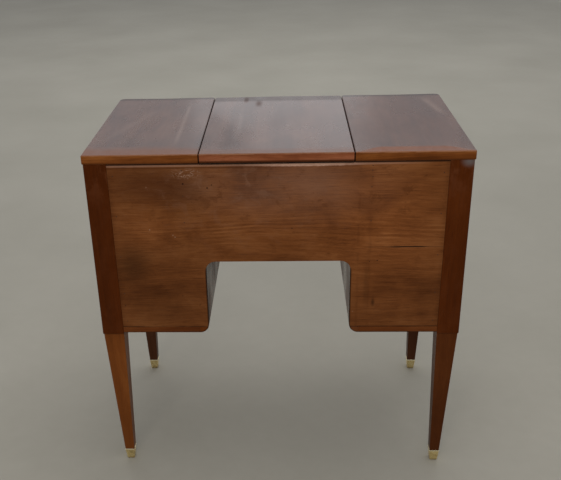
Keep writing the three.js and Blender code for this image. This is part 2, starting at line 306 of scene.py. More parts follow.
def board_material(name, node, grain, palette, seed, rough=0.42, wear=1.2 * MM, ends=None,
                   gloss=0.2, rim=0.0, foot=0.0, **look):
    """A plain board. ends colours its end grain, rim darkens its faces close to the back
    edge with painted shade, and foot draws a painted shade line round the foot of a pedestal."""
    s = Shader(name)
    color, height = wood(s, grain, palette, seed, **look)
    low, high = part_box(node)
    across = "xyz".replace(grain.lower(), "")
    worn = edge_wear(s, low, high, across, wear, seed)
    color = s.mix(s.mul(worn, 0.55), color, palette[2])
    if ends is not None:
        across_grain = s.spread(s.math("ABSOLUTE", s.ny), 0.5, 0.8)
        color = s.mix(across_grain, color, ends)
    if rim:
        # painted shade on the faces close to the back edge, deep in the kneehole
        far = s.spread(s.sub(high[1], s.y), 4 * MM, 7 * MM, rim, 0.0)
        along = s.spread(s.math("ABSOLUTE", s.ny), 0.3, 0.6, 1.0, 0.0)
        color = s.mix(s.mul(far, along), color, KNEE_SHADE)
    if foot:
        # distance from the axis of the rounded edge, or below it where the bottom is flat
        du = s.math("MINIMUM", s.sub(s.math("ABSOLUTE", s.x), ROUND_X), 0.0)
        dv = s.sub(s.z, ROUND_Z)
        reach = s.math("SQRT", s.add(s.mul(du, du), s.mul(dv, dv)))
        # painted shade: a dark line following the rounded foot, on the faces turned to the back
        line = s.spread(reach, 17.2 * MM, 19.0 * MM, 0.0, foot)
        color = s.mix(s.mul(line, s.spread(s.ny, 0.3, 0.6)), color, GRIME_AND_SHADE)
    shine = s.noise(s.place, scale=7.0 + seed, detail=3.0)
    s.set(Base_Color=color, Roughness=s.spread(shine, 0.3, 0.7, rough - 0.07, rough + 0.1))
    s.set(Normal=s.bump(height, 0.00012, 0.8), Specular_IOR_Level=gloss, Specular_Tint=WOOD_GLOSS)
    return s.material


# ---- meshes -------------------------------------------------------------
def piece(name, bm, material, body):
    mesh = bpy.data.meshes.new(name)
    bm.normal_update()
    bm.to_mesh(mesh)
    bm.free()
    mesh.materials.append(material)
    for face in mesh.polygons:
        face.use_smooth = True
    obj = bpy.data.objects.new(name, mesh)
    bpy.context.scene.collection.objects.link(obj)
    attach(obj, body)
    return obj


def weighted(obj):
    mod = obj.modifiers.new("normals", "WEIGHTED_NORMAL")
    mod.mode = "FACE_AREA"
    mod.weight = 90
    mod.keep_sharp = True
    return obj


def eased(node, material, radius, segments=2, corner=24.0):
    """The CAD solid again with its sharp edges rounded, standing for the CAD node."""
    bm = bmesh.new()
    bm.from_mesh(NODES[node].data)
    bmesh.ops.remove_doubles(bm, verts=bm.verts, dist=1e-6)
    bmesh.ops.dissolve_limit(bm, angle_limit=math.radians(0.6), verts=bm.verts, edges=bm.edges)
    sharp = [e for e in bm.edges
             if len(e.link_faces) == 2 and e.calc_face_angle() > math.radians(corner)]
    bmesh.ops.bevel(bm, geom=sharp, offset=radius, segments=segments, profile=0.5,
                    affect="EDGES", clamp_overlap=True)
    obj = piece(f"{node}_eased", bm, material, BODY_OF[node])
    weighted(obj)
    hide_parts(node)
    return obj


# ---- materials of each board -------------------------------------------
# lighter and darker patches of the back panel: centre x and z, half sizes, change of light; the
# broad lighter patch in the upper middle is painted sheen
PANEL_PATCHES = (
    (-0.04, 0.69, 0.36, 0.22, 0.26), (-0.24, 0.62, 0.20, 0.24, 0.31),
    (0.28, 0.63, 0.10, 0.07, 0.22), (0.315, 0.540, 0.062, 0.068, -0.42),
    (-0.206, 0.446, 0.006, 0.016, -0.55), (-0.190, 0.500, 0.010, 0.100, -0.22),
    (0.25, 0.73, 0.16, 0.06, -0.30), (0.19, 0.70, 0.10, 0.06, -0.22),
    (0.25, 0.43, 0.14, 0.09, -0.16),
)
PANEL_LIGHT = 0.84


def back_panel_material():
    s = Shader("back_panel_wood")
    # the growth rings show in a belt above the kneehole, most of all at the -X end
    lined = s.add(0.10, s.mul(s.between(s.z, 0.588, 0.650, 0.018), 0.75))
    lined = s.mul(lined, s.spread(s.x, 0.30, 0.10, 0.35, 1.0))
    patchy = s.noise(s.scaled(s.place, (6, 1, 40)), detail=3.0)
    lined = s.mul(lined, s.spread(patchy, 0.35, 0.65, 0.2, 1.3))
    color, height = wood(s, "X", BROWN, 2.0, rings=lined, ring_mm=5.0, figure=0.34, streak=0.26,
                         blotch=1.0, fine=0.42)
    x, z = s.x, s.z
    light = PANEL_LIGHT
    for cx, cz, rx, rz, change in PANEL_PATCHES:
        light = s.add(light, s.mul(s.blob(x, z, cx, cz, rx, rz), change))
    color = s.gain(color, light)
    stained = s.mul(s.blob(x, z, 0.25, 0.725, 0.17, 0.07), 0.5)
    color = s.mix(stained, color, PANEL_STAIN)
    # painted sheen of the light across the upper middle
    painted_sheen = s.mul(s.blob(x, z, -0.03, 0.72, 0.30, 0.12), 0.30)
    painted_sheen = s.mul(painted_sheen, s.spread(s.noise(s.place, scale=9.0, detail=4.0), 0.3, 0.7, 0.5, 1.0))
    color = s.mix(painted_sheen, color, PANEL_SHEEN)
    cloud = s.noise(s.scaled(s.place, (22, 22, 34)), detail=6.0, rough=0.70, distortion=0.6)
    lower = s.mul(s.blob(x, z, 0.05, 0.66, 0.40, 0.14), 0.45)
    cloudy = s.add(s.blob(x, z, 0.08, 0.735, 0.30, 0.10), lower)
    cloudy = s.mul(s.spread(cloud, 0.50, 0.66), cloudy)
    color = s.mix(s.mul(cloudy, 0.42), color, PANEL_CLOUD)
    dirty = s.spread(cloud, 0.44, 0.34)
    color = s.mix(s.mul(dirty, s.spread(z, 0.62, 0.74, 0.26, 0.46)), color, BROWN[0])
    # the two edges of the partition behind, and its row of nails
    seams = s.add(s.between(x, -0.1720, -0.1690, 0.0040), s.between(x, -0.1970, -0.1940, 0.0040))
    seams = s.mul(seams, s.spread(z, 0.76, 0.66, 0.35, 1.0))
    seams = s.mul(seams, s.spread(s.noise(s.scaled(s.place, (60, 4, 22)), detail=3.0), 0.40, 0.62))
    color = s.mix(s.mul(seams, 0.5), color, BROWN[0])
    # the joint that opened across the -X pedestal
    joint_z = s.add(0.5783, s.mul(s.noise(s.scaled(s.place, (9, 1, 1))), 0.002))
    joint = s.between(s.sub(z, joint_z), -0.0013, 0.0015, 0.0007)
    reach = s.add(s.mul(s.between(x, -0.312, -0.240, 0.012), 0.68), 0.32)
    joint = s.mul(joint, s.mul(reach, s.between(x, -0.352, -0.186, 0.006)))
    color = s.mix(s.mul(joint, 0.9), color, CRACK)
    # upper edge: a shadow line under the lids, a worn strip, bare and chipped in the middle,
    # and a dark line below it
    ragged = s.noise(s.scaled(s.place, (110, 110, 260)), detail=4.0, rough=0.7)
    drop = s.sub(PANEL_HIGH[2], z)
    middle = s.between(x, -0.150, 0.03, 0.06)
    depth = s.add(0.0074, s.mul(middle, s.add(0.0002, s.mul(ragged, 0.0036))))
    strip = s.spread(s.sub(depth, drop), -0.0006, 0.0010)
    strip = s.mul(strip, s.spread(x, -0.335, -0.20))
    worn = s.mul(strip, s.add(0.30, s.mul(middle, s.spread(ragged, 0.35, 0.60, 0.45, 0.70))))
    color = s.mix(worn, color, BARE_STRIP)
    under = s.mul(s.between(drop, 0.0086, 0.0112, 0.0016), s.spread(x, -0.05, 0.10))
    color = s.mix(s.mul(under, 0.7), color, BROWN[0])
    gap = s.add(drop, s.spread(s.math("ABSOLUTE", s.add(x, 0.002)), 0.150, 0.160, 0.0016, 0.0))
    shade = s.spread(gap, 0.0024, 0.0042, 0.95, 0.0)
    color = s.mix(shade, color, LID_SHADE)
    # an uneven dark line where the panel ends above the bottom boards
    lip = s.spread(s.sub(z, PANEL_LOW[2]), 1.2 * MM, 3.4 * MM, 0.85, 0.0)
    uneven = s.noise(s.scaled(s.place, (26, 1, 1)), detail=3.0)
    lip = s.mul(lip, s.spread(uneven, 0.32, 0.55, 0.25, 1.0))
    color = s.mix(lip, color, GRIME_AND_SHADE)
    # painted shade: a dark line down both edges of the kneehole
    inner = s.spread(s.sub(s.math("ABSOLUTE", x), KNEE_X), 1.0 * MM, 3.0 * MM, 0.75, 0.0)
    inner = s.mul(inner, s.spread(z, 0.520, 0.535, 1.0, 0.0))
    color = s.mix(inner, color, GRIME_AND_SHADE)
    # a darker rim by the posts, worm holes and pale chips
    rim = s.spread(s.sub(PANEL_HIGH[0], s.math("ABSOLUTE", x)), 0.0, 12 * MM, 0.22, 0.0)
    color = s.mix(rim, color, POST[0])
    holes = specks(s, x, z, 38.0, 0.080, 0.54)
    color = s.mix(holes, color, CRACK)
    chips = specks(s, s.add(x, 0.33), z, 30.0, 0.055, 0.56)
    color = s.mix(s.mul(chips, 0.5), color, PANEL_CHIP)
    # a tangle of pale scratches below the upper edge
    tangle = s.noise(s.scaled(s.place, (55, 1, 130), (0.0, 0.0, 2.0)), detail=3.0, rough=0.6,
                     distortion=1.2)
    scratched = s.between(tangle, 0.485, 0.515, 0.012)
    scratched = s.mul(scratched, s.blob(x, z, 0.186, 0.749, 0.042, 0.016))
    color = s.mix(s.mul(scratched, 1.1), color, PANEL_SCRATCH)
    # the cut edges are darker: rough end grain, and painted shade on edges turned from the light
    cut_edge = s.spread(s.math("ABSOLUTE", s.ny), 0.35, 0.75, 1.0, 0.0)
    color = s.mix(s.mul(cut_edge, 0.85), color, ROUGH_CUT_AND_SHADE)
    dents = s.noise(s.scaled(s.place, (22, 22, 30)), detail=3.0)
    normal = s.bump(dents, 0.0009, 0.35)
    deep = s.sub(height, s.add(s.mul(joint, 6.0), s.add(s.mul(holes, 5.0), s.mul(chips, 2.5))))
    rough = s.add(0.36, s.mul(s.noise(s.place, scale=12.0, detail=4.0), 0.16))
    rough = s.add(rough, s.add(s.mul(strip, 0.3), s.mul(cut_edge, 0.45)))
    s.set(Base_Color=color, Roughness=rough, Specular_IOR_Level=0.2, Specular_Tint=WOOD_GLOSS)
    s.set(Normal=s.bump(deep, 0.00015, 0.9, normal))
    return s.material


def post_material(name, node, seed, pale_top=False):
    s = Shader(name)
    color, height = wood(s, "Z", POST, seed, rings=0.1, figure=0.5, streak=0.25, blotch=0.4)
    low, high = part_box(node)
    worn = edge_wear(s, low, high, "xy", 1.6 * MM, seed)
    color = s.mix(s.mul(worn, 0.5), color, HONEY[1])
    rubbed = s.noise(s.scaled(s.place, (40, 40, 22)), detail=4.0, rough=0.65)
    rubbed = s.mul(s.spread(rubbed, 0.45, 0.65), s.spread(s.z, 0.66, 0.76, 0.12, 0.6))
    color = s.mix(rubbed, color, (0.105, 0.030, 0.010))
    if pale_top:
        bleached = s.mul(s.blob(s.x, s.z, low[0] + 0.010, high[2] - 0.003, 0.022, 0.017), 0.9)
        color = s.mix(bleached, color, (0.120, 0.100, 0.095))
    chips = specks(s, s.add(s.x, s.y), s.z, 36.0, 0.05, 0.62)
    color = s.mix(s.mul(chips, 0.7), color, (0.30, 0.19, 0.12))
    rough = s.add(0.33, s.mul(s.noise(s.place, scale=10.0, detail=3.0), 0.14))
    s.set(Base_Color=color, Roughness=rough, Specular_IOR_Level=0.16, Specular_Tint=WOOD_GLOSS)
    s.set(Normal=s.bump(height, 0.00012, 0.8))
    return s.material


def leg_material(name, seed, palette):
    s = Shader(name)
    color, height = wood(s, "Z", palette, seed, rings=0.2, ring_mm=8.0, figure=0.6, streak=0.3)
    deeper = s.spread(s.z, 0.30, 0.06, 0.0, 0.38)
    color = s.mix(deeper, color, palette[0])
    # partly the joint, partly painted shadow under the step where the post stands proud of the leg
    joint = s.spread(s.z, 0.3625, 0.3655, 0.0, 0.6)
    color = s.mix(joint, color, POST[0])
    scuffs = specks(s, s.add(s.x, s.y), s.z, 42.0, 0.05, 0.58)
    color = s.mix(s.mul(scuffs, 0.6), color, palette[2])
    rough = s.add(0.32, s.mul(s.noise(s.place, scale=10.0, detail=3.0), 0.15))
    s.set(Base_Color=color, Roughness=rough, Specular_IOR_Level=0.18, Specular_Tint=WOOD_GLOSS)
    s.set(Normal=s.bump(height, 0.00012, 0.8))
    return s.material


def lid_material(name, node, seed, polish, front, marks):
    """Upper face of a lid. marks gives what is special to one lid: its pale streaks, on the middle
    lid a painted reflection, the bare band along its back edge and its matt patches. front is the
    width of the dark band along the front edge, a painted reflection of shade, and how strong it
    is."""
    s = Shader(name)
    low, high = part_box(node)
    x, y = s.x, s.y
    face, _ = wood(s, "Y", TOP, seed, rings=0.1, figure=0.9, streak=0.25, blotch=0.9, pores=0.0,
                   fine=0.08)
    light, band, matt = marks(s, low, high)
    face = s.mix(s.mul(light, 0.6), face, (0.200, 0.115, 0.080))
    # the polish is thin and the wood redder where the top rolls over at the back
    face = s.mix(band, face, (0.185, 0.068, 0.032))
    back = s.sub(high[1], y)
    # painted highlight: a lighter rim along the rounded back arris
    rim = s.spread(back, 0.0, 0.0035, 1.0, 0.0)
    face = s.mix(s.mul(rim, 0.5), face, (0.250, 0.110, 0.050))
    spots = specks(s, x, y, 22.0, 0.07, 0.66)
    face = s.mix(s.mul(spots, 0.5), face, TOP_SPOT)
    # painted reflection of shade: a darker band along the front edge, where the coat is taken away
    # as well
    width, worn = front
    front_dark_reflection = s.spread(s.sub(y, low[1]), width * 0.75, width * 1.2, worn, 0.0)
    face = s.mix(s.mul(front_dark_reflection, 0.7), face, FRONT_SHADE_REFLECTION)
    smear = s.noise(s.scaled(s.place, (16.0, 5.0, 6.0), (seed, 4, 0)), detail=4.0, rough=0.55,
                    distortion=0.4)
    dull = s.add(s.mul(matt, 0.16), s.mul(band, 0.30))
    s.set(Base_Color=face, Roughness=s.add(s.spread(smear, 0.3, 0.7, 0.22, 0.32), dull))
    s.set(Specular_IOR_Level=0.24, Coat_Roughness=0.18, Coat_IOR=1.5)
    # the coat of polish: where it is hidden the wood shows without its grey reflection
    hidden = s.math("MINIMUM", s.add(s.mul(band, 0.95), s.mul(matt, 0.6)), 1.0)
    hidden = s.sub(hidden, s.mul(light, 0.7))
    hidden = s.add(hidden, front_dark_reflection)
    hidden = s.math("MINIMUM", hidden, 1.0)
    coat = s.spread(smear, 0.30, 0.70, polish * 0.82, polish * 1.18)
    s.set(Coat_Weight=s.mul(coat, s.sub(1.0, hidden)))
    warp = s.noise(s.scaled(s.place, (7, 3, 7), (seed, 0, 3)), detail=1.0)
    s.set(Normal=s.bump(warp, 0.004, 0.16))
    return s.material


def lid_edge_material(name, node, seed, palette):
    """Sides and underside of a lid: a painted highlight along the upper edge of the back face,
    painted shade along the foot.
    """
    s = Shader(name)
    low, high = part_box(node)
    color, height = wood(s, "X", palette, seed, rings=0.2, figure=1.1, streak=0.9, blotch=1.0,
                         pores=0.8)
    drop = s.sub(high[2], s.z)
    broken = s.spread(s.noise(s.scaled(s.place, (40, 40, 5)), detail=3.0), 0.35, 0.6)
    # painted highlight along the rounded upper edge, on the back face only
    arris_highlight = s.mul(s.spread(drop, 0.0012, 0.0036, 1.0, 0.0), s.mul(broken, 0.75))
    arris_highlight = s.mul(arris_highlight, s.spread(s.ny, 0.0, 0.3))
    color = s.mix(arris_highlight, color, (0.330, 0.160, 0.078))
    # painted shade along the foot of the edge, higher and almost black on the middle lid, where the
    # long hinge lies below
    hinged = node == "lid_middle"
    reach, dark = (6.6 * MM, 0.92) if hinged else (5.2 * MM, 0.80)
    foot = s.spread(s.sub(s.z, low[2]), 2.5 * MM, reach, dark, 0.0)
    upright = s.spread(s.nz, -0.8, -0.45)
    color = s.mix(s.mul(foot, upright), color, POST[0] if hinged else palette[0])
    below, _ = wood(s, "Y", BROWN, seed + 1.7, figure=0.8, blotch=0.9)
    color = s.mix(upright, below, color)
    # painted shade: the ends that meet in the narrow gaps between the lids are darkened
    split = s.between(s.math("ABSOLUTE", s.x), 0.153, 0.164, 0.002)
    split = s.mul(split, s.spread(s.math("ABSOLUTE", s.nx), 0.5, 0.8))
    color = s.mix(s.mul(split, 0.9), color, SPLIT_SHADE)
    s.set(Base_Color=color, Roughness=0.36, Specular_IOR_Level=0.2, Specular_Tint=WOOD_GLOSS)
    s.set(Normal=s.bump(height, 0.00012, 0.8))
    return s.material


def lid_left_marks(s, low, high):
    x, y = s.x, s.y
    back = s.sub(high[1], y)
    # a long lens of bare wood along the back edge
    end = s.math("MINIMUM", s.sub(x, low[0]), s.sub(high[0], x))
    depth = s.spread(end, -0.004, 0.060, 0.0, 0.029)
    depth = s.add(depth, s.mul(s.noise(s.scaled(s.place, (12, 1, 1))), 0.006))
    broken = s.noise(s.scaled(s.place, (14, 60, 1), (2, 0, 0)), detail=4.0)
    band = s.spread(s.sub(depth, back), -0.005, 0.006)
    band = s.mul(band, s.spread(broken, 0.3, 0.7, 0.60, 0.95))
    slant = s.add(x, s.mul(y, 0.18))
    streak = s.mul(s.between(slant, -0.392, -0.380, 0.010), s.between(y, -0.17, -0.04, 0.03))
    light = s.mul(streak, 0.9)
    matt = s.mul(s.blob(x, y, -0.30, 0.05, 0.16, 0.20), 0.35)
    return light, band, s.add(matt, 0.10)


def lid_right_marks(s, low, high):
    x, y = s.x, s.y
    back = s.sub(high[1], y)
    wave = s.noise(s.scaled(s.place, (8.0, 4.0, 1.0)), detail=3.0)
    depth = s.add(0.016, s.mul(wave, 0.040))
    band = s.mul(s.spread(s.sub(depth, back), -0.026, 0.016), 0.62)
    streak = s.mul(s.between(x, 0.210, 0.217, 0.005), s.between(y, -0.13, 0.15, 0.05))
    slant = s.add(x, s.mul(y, -0.35))
    cross = s.mul(s.between(slant, 0.318, 0.330, 0.012), s.between(y, -0.08, 0.12, 0.05))
    light = s.add(s.mul(streak, 0.75), s.mul(cross, 0.35))
    return light, band, s.mul(s.blob(x, y, 0.28, 0.0, 0.10, 0.20), 0.15)


def lid_middle_marks(s, low, high):
    x, y = s.x, s.y
    back = s.sub(high[1], y)
    line = s.mul(s.between(back, 0.027, 0.029, 0.002), 0.45)
    band = s.add(line, s.spread(back, 0.018, 0.028, 0.34, 0.0))
    # painted reflection of a lamp: pale bands across the middle of the lid
    bands = s.noise(s.scaled(s.place, (26.0, 1.6, 1.0), (4, 1, 0)), detail=2.0)
    light = s.mul(s.spread(bands, 0.55, 0.75), s.blob(x, y, 0.05, 0.03, 0.13, 0.22))
    smudge = s.add(s.blob(x, y, 0.078, -0.182, 0.009, 0.040),
                   s.blob(x, y, 0.046, -0.146, 0.013, 0.042))
    return s.mul(light, 0.5), band, s.mul(smudge, 1.3)


def brass_material(name, bright=0.0, tarnish=0.5):
    s = Shader(name)
    dull = s.noise(s.place, scale=55.0, detail=4.0, rough=0.6)
    fine = s.noise(s.place, scale=420.0, detail=2.0)
    color = s.ramp(dull, [(0.30, (0.34, 0.20, 0.065)), (0.55, (0.62, 0.43, 0.17)),
                          (0.8, (0.80, 0.62, 0.30))])
    color = s.mix(bright, color, (0.90, 0.76, 0.46))
    rough = s.spread(dull, 0.3, 0.75, 0.22 + 0.25 * tarnish, 0.18)
    s.set(Base_Color=color, Metallic=1.0, Roughness=rough)
    s.set(Normal=s.bump(fine, 0.00008, 0.5))
    return s.material


def dark_iron_and_shade_material():
    s = Shader("hinge_dark_iron_and_shade")
    # almost black: the iron also stands in for the painted shade of the gap under the middle lid
    rust = s.noise(s.place, scale=120.0, detail=4.0, rough=0.7)
    s.set(Base_Color=s.ramp(rust, [(0.35, (0.010, 0.006, 0.004)), (0.75, (0.036, 0.018, 0.010))]))
    s.set(Metallic=0.1, Roughness=s.spread(rust, 0.3, 0.7, 0.6, 0.8), Specular_IOR_Level=0.1)
    s.set(Normal=s.bump(rust, 0.0002, 0.6))
    return s.material


def sabot_material():
    s = Shader("sabot_brass")
    dull = s.noise(s.place, scale=90.0, detail=4.0, rough=0.6)
    color = s.ramp(dull, [(0.30, (0.62, 0.46, 0.20)), (0.55, (0.95, 0.77, 0.39)),
                          (0.8, (1.0, 0.92, 0.56))])
    lip = s.spread(s.z, 0.0272, 0.0284)
    color = s.mix(s.mul(lip, 0.75), color, (0.97, 0.88, 0.62))
    worn = s.spread(s.z, 0.0, 0.006, 0.6, 0.0)
    color = s.mix(worn, color, (0.30, 0.20, 0.09))
    rough = s.spread(dull, 0.3, 0.75, 0.38, 0.22)
    fine = s.noise(s.place, scale=500.0, detail=2.0)
    s.set(Base_Color=color, Metallic=1.0, Roughness=rough)
    s.set(Normal=s.bump(fine, 0.00008, 0.5))
    return s.material


def mirror_material():
    s = Shader("mirror_silver")
    low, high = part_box("mirror_glass")
    side = s.math("MINIMUM", s.sub(s.x, low[0]), s.sub(high[0], s.x))
    end = s.math("MINIMUM", s.sub(s.y, low[1]), s.sub(high[1], s.y))
    near = s.math("MINIMUM", side, end)
    age = s.noise(s.place, scale=45.0, detail=5.0, rough=0.7)
    foxing = s.mul(s.spread(near, 0.0, 0.014, 1.0, 0.0), s.spread(age, 0.52, 0.66))
    spots = specks(s, s.x, s.y, 40.0, 0.06, 0.60)
    spoiled = s.math("MAXIMUM", foxing, s.mul(spots, 0.6))
    color = s.mix(spoiled, (0.90, 0.92, 0.92), (0.16, 0.13, 0.10))
    s.set(Base_Color=color, Metallic=1.0, Roughness=s.spread(spoiled, 0.0, 1.0, 0.015, 0.35))
    return s.material


def floor_material():
    s = Shader("floor_resin")
    soft = s.noise(s.place, scale=1.6, detail=4.0)
    fine = s.noise(s.place, scale=26.0, detail=4.0, rough=0.6)
    tone = s.add(s.mul(soft, 0.7), s.mul(fine, 0.3))
    color = s.ramp(tone, [(0.3, (0.276, 0.258, 0.212)), (0.7, (0.328, 0.306, 0.256))])
    s.set(Base_Color=color, Roughness=s.spread(fine, 0.3, 0.7, 0.62, 0.74), Specular_IOR_Level=0.2)
    return s.material


# ---- dress the case -----------------------------------------------------
eased("back_panel", back_panel_material(), 0.8 * MM)

for index, corner in enumerate(CORNERS):
    node = f"post_{corner}"
    material = post_material(f"{node}_wood", node, 1.3 * index + 0.4, corner == "back_left")
    eased(node, material, 1.5 * MM, 3)
    node = f"leg_{corner}"
    # the front legs take a darker, greyer palette as painted shade, the back_right leg a lighter
    # one as painted light bounced from the floor
    palette = {"back_right": HONEY, "back_left": AMBER}.get(corner, SHADED_LEG)
    eased(node, leg_material(f"{node}_wood", 2.1 * index + 0.9, palette), 1.2 * MM, 3)

boards = {
    "front_apron": ("X", BROWN, 4.2), "end_panel_left": ("Z", BROWN, 5.1),
    "end_panel_right": ("Z", BROWN, 6.3), "pedestal_bottom_left": ("X", RUST, 7.9),
    "pedestal_bottom_right": ("X", RUST, 8.8),
}
for node, (grain, palette, seed) in boards.items():
    foot = 0.8 if "bottom" in node else 0.0
    eased(node, board_material(f"{node}_wood", node, grain, palette, seed, foot=foot), 0.8 * MM)

for index, word in enumerate(("left", "right")):
    for node in (f"kneehole_side_{word}", f"round_edge_{word}"):
        material = board_material(f"{node}_wood", node, "Y", POST, 3.3 + index, rough=0.27,
                                  ends=RUST[1], gloss=(0.46, 0.06)[index], rim=0.9, foot=0.8)
        eased(node, material, 0.5 * MM)
material = board_material("kneehole_top_wood", "kneehole_top", "Y", POST, 9.4, rough=0.27, rim=0.9)
eased("kneehole_top", material, 0.5 * MM)

for index, word in enumerate(("left", "right", "middle")):
    node = f"well_floor_{word}"
    eased(node, board_material(f"{node}_wood", node, "Y", BARE, 10.1 + index, rough=0.5), 0.5 * MM)
    for inner_index, part in enumerate(("side_a", "side_b", "back", "bottom")):
        node = f"drawer_{word}_{part}"
        grain = "X" if part in ("back", "bottom") else "Y"
        seed = 12.0 + index + 0.31 * inner_index
        eased(node, board_material(f"{node}_wood", node, grain, BARE, seed, rough=0.55), 0.8 * MM)
    node = f"drawer_{word}_front"
    eased(node, board_material(f"{node}_wood", node, "X", BROWN, 16.0 + index), 1.2 * MM, 3)

# ---- lids ---------------------------------------------------------------
# node, seed, weight of the coat, dark front band (painted reflection of shade), wood of the edges,
# marks
lids = (
    ("lid_left", 1.0, 0.14, (0.018, 1.0), HONEY, lid_left_marks),
    ("lid_right", 2.7, 0.22, (0.018, 1.0), HONEY, lid_right_marks),
    ("lid_middle", 6.1, 0.38, (0.044, 0.8), ROSE, lid_middle_marks),
)
for node, seed, polish, front, edge, marks in lids:
    material = lid_material(f"{node}_top_wood", node, seed, polish, front, marks)
    lid = eased(node, material, 1.2 * MM, 3, 20.0)
    lid.data.materials.append(lid_edge_material(f"{node}_edge_wood", node, seed + 3.0, edge))
    for face in lid.data.polygons:
        face.material_index = 0 if face.normal.z > 0.5 else 1


# ---- mirror -------------------------------------------------------------
def ring(bm, x0, x1, y0, y1, z):
    return [bm.verts.new(p) for p in ((x0, y0, z), (x1, y0, z), (x1, y1, z), (x0, y1, z))]


def bridge(bm, a, b):
    count = len(a)
    for i in range(count):
        bm.faces.new((a[i], a[(i + 1) % count], b[(i + 1) % count], b[i]))


def mirror_glass():
    """Plate with a ground bevel all round its lower face."""
    low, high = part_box("mirror_glass")
    bm = bmesh.new()
    inset = 12 * MM
    levels = [(0.0, high[2]), (0.0, low[2] + 2.0 * MM), (inset, low[2] + 0.6 * MM)]
    rings = [ring(bm, low[0] + d, high[0] - d, low[1] + d, high[1] - d, z) for d, z in levels]
    bm.faces.new(rings[0])
    bridge(bm, rings[1], rings[0])
    bridge(bm, rings[2], rings[1])
    bm.faces.new(list(reversed(rings[2])))
    bmesh.ops.recalc_face_normals(bm, faces=bm.faces)
    obj = piece("mirror_plate", bm, mirror_material(), "lid_middle")
    for face in obj.data.polygons:
        face.use_smooth = False
    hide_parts("mirror_glass")


def mirror_frame():
    """A bead moulding with mitred corners round the glass."""
    low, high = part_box("mirror_frame")
    top = high[2]
    # inset from the outer edge, drop below the lid
    profile = [(0.0, 0.0), (0.0, 6.0), (1.0, 8.2), (2.0, 9.0), (2.2, 9.6), (3.6, 11.6),
               (5.6, 12.8), (7.6, 12.6), (9.2, 11.2), (9.9, 9.4), (10.2, 8.8), (11.2, 8.2),
               (12.0, 7.0), (12.0, 0.0)]
    bm = bmesh.new()
    rings = []
    for inset, drop in profile:
        d = inset * MM
        rings.append(ring(bm, low[0] + d, high[0] - d, low[1] + d, high[1] - d, top - drop * MM))
    for a, b in zip(rings, rings[1:] + rings[:1]):
        bridge(bm, a, b)
    bmesh.ops.recalc_face_normals(bm, faces=bm.faces)
    material = board_material("mirror_frame_wood", "mirror_frame", "X", BROWN, 21.0, rough=0.3)
    obj = piece("mirror_bead", bm, material, "lid_middle")
    for edge in obj.data.edges:
        a, b = (obj.data.vertices[i].co for i in edge.vertices)
        edge.use_edge_sharp = abs(a.x - b.x) < 20 * MM and abs(a.y - b.y) < 20 * MM
    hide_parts("mirror_frame")


mirror_glass()
mirror_frame()

# ---- brass --------------------------------------------------------------
SABOT_BRASS = sabot_material()
KNOB_BRASS = brass_material("knob_brass", 0.15, 0.3)
HINGE_BRASS = brass_material("hinge_brass", 0.0, 1.0)
HINGE_DARK = dark_iron_and_shade_material()
SCREW_BRASS = brass_material("screw_brass", 0.1, 0.6)


def rounded_square(cx, cy, half, radius, steps=5):
    points = []
    for quarter in range(4):
        a = quarter * math.pi / 2
        ux = math.cos(a + math.pi / 4) * math.sqrt(2) * (half - radius)
        uy = math.sin(a + math.pi / 4) * math.sqrt(2) * (half - radius)
        for i in range(steps + 1):
            t = a + (math.pi / 2) * i / steps
            points.append((cx + ux + radius * math.cos(t), cy + uy + radius * math.sin(t)))
    return points


def sabot(corner):
    """A tapered cast shoe with a raised lip, open at the top round the leg."""
    node = f"sabot_{corner}"
    low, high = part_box(node)
    cx = (low[0] + high[0]) / 2
    cy = (low[1] + high[1]) / 2
    # half width, height, corner radius, all in mm
    levels = [(7.9, 0.0, 1.4), (8.5, 0.5, 1.8), (8.8, 1.6, 1.8), (10.0, 14.0, 1.5),
              (11.25, 26.6, 1.2), (11.35, 27.2, 1.2), (11.85, 27.6, 1.3), (12.0, 28.3, 1.3),
              (11.95, 29.3, 1.3), (11.6, 29.9, 1.1), (11.1, 30.0, 0.9), (10.95, 29.4, 0.8),
              (10.6, 25.0, 0.8)]
    bm = bmesh.new()
    rings = []
    for half, z, radius in levels:
        points = rounded_square(cx, cy, half * MM, radius * MM)
        rings.append([bm.verts.new((x, y, z * MM)) for x, y in points])
    for a, b in zip(rings, rings[1:]):
        bridge(bm, a, b)
    bm.faces.new(list(reversed(rings[0])))
    bm.faces.new(rings[-1])
    bmesh.ops.recalc_face_normals(bm, faces=bm.faces)
    obj = piece(f"{node}_cast", bm, SABOT_BRASS, "case")
    weighted(obj)
    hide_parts(node)


for corner in CORNERS:
    sabot(corner)


def turned(bm, profile, centre, axis_turn, sides=40):
    """A lathe shape: profile is (radius, height) in mm along the turned +Z."""
    rings = []
    for radius, height in profile:
        loop = []
        for i in range(sides):
            a = math.tau * i / sides
            p = Vector((radius * MM * math.cos(a), radius * MM * math.sin(a), height * MM))
            loop.append(bm.verts.new(axis_turn @ p + centre))
        rings.append(loop)
    for a, b in zip(rings, rings[1:]):
        bridge(bm, a, b)
    bm.faces.new(list(reversed(rings[0])))
    bm.faces.new(rings[-1])
    bmesh.ops.recalc_face_normals(bm, faces=bm.faces)


